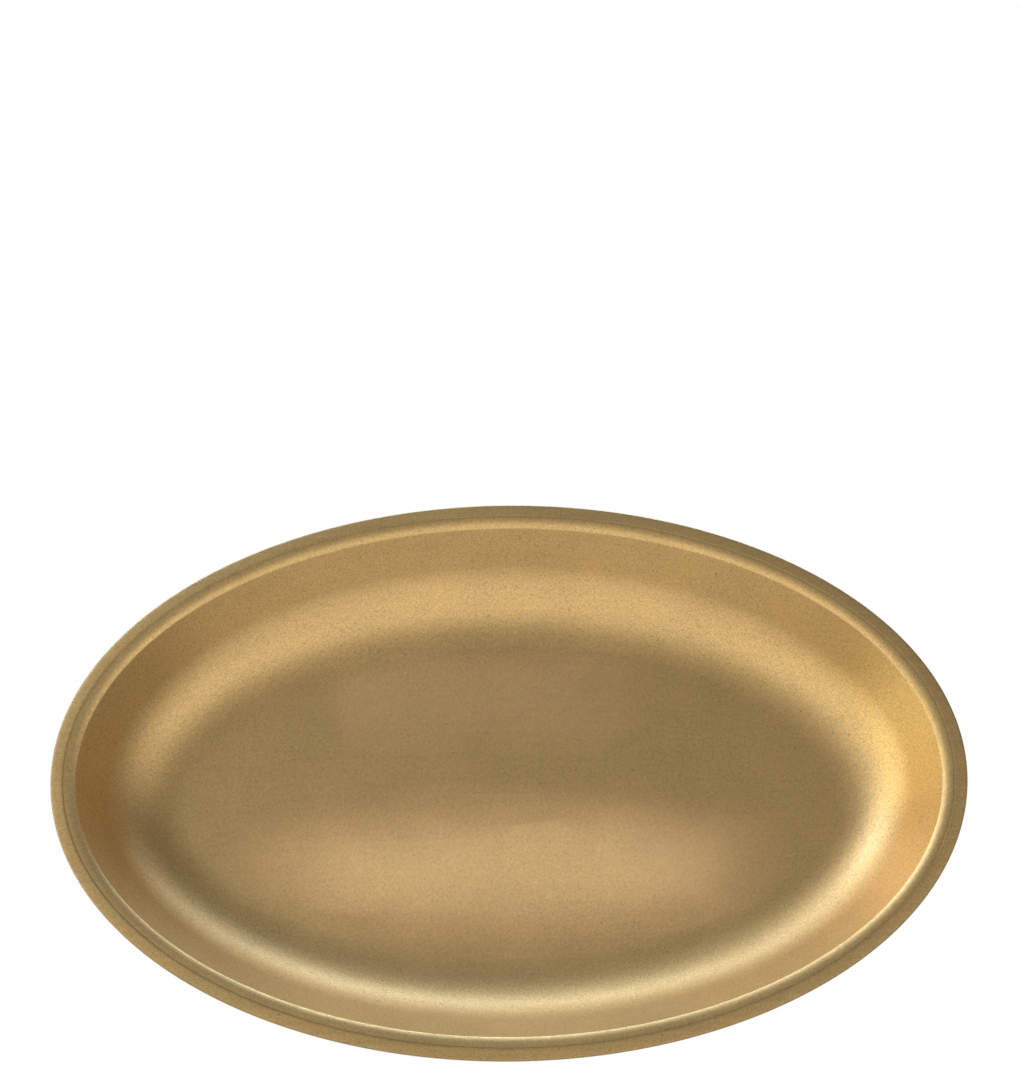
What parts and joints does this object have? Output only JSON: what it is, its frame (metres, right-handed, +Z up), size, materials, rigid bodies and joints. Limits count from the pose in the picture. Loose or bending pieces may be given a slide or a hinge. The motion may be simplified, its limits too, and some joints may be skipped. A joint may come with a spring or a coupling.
{
  "type": "serving tray",
  "caption": "Shallow oval serving tray with a coved well, a rounded shoulder and a flat rim closed by a folded band, in aged satin brass.",
  "frame": {"origin": "on the table, under the middle of the tray", "axes": "+X along the tray's length, +Y across it, +Z up out of the well"},
  "size_m": [0.31, 0.2, 0.025],
  "materials": {
    "pan_brass": "aged, tumbled satin",
    "band_brass": "aged, tumbled satin"
  },
  "bodies": {
    "root": {"tray_pan": "pan_brass", "rim_band": "band_brass"}
  },
  "joints": []
}
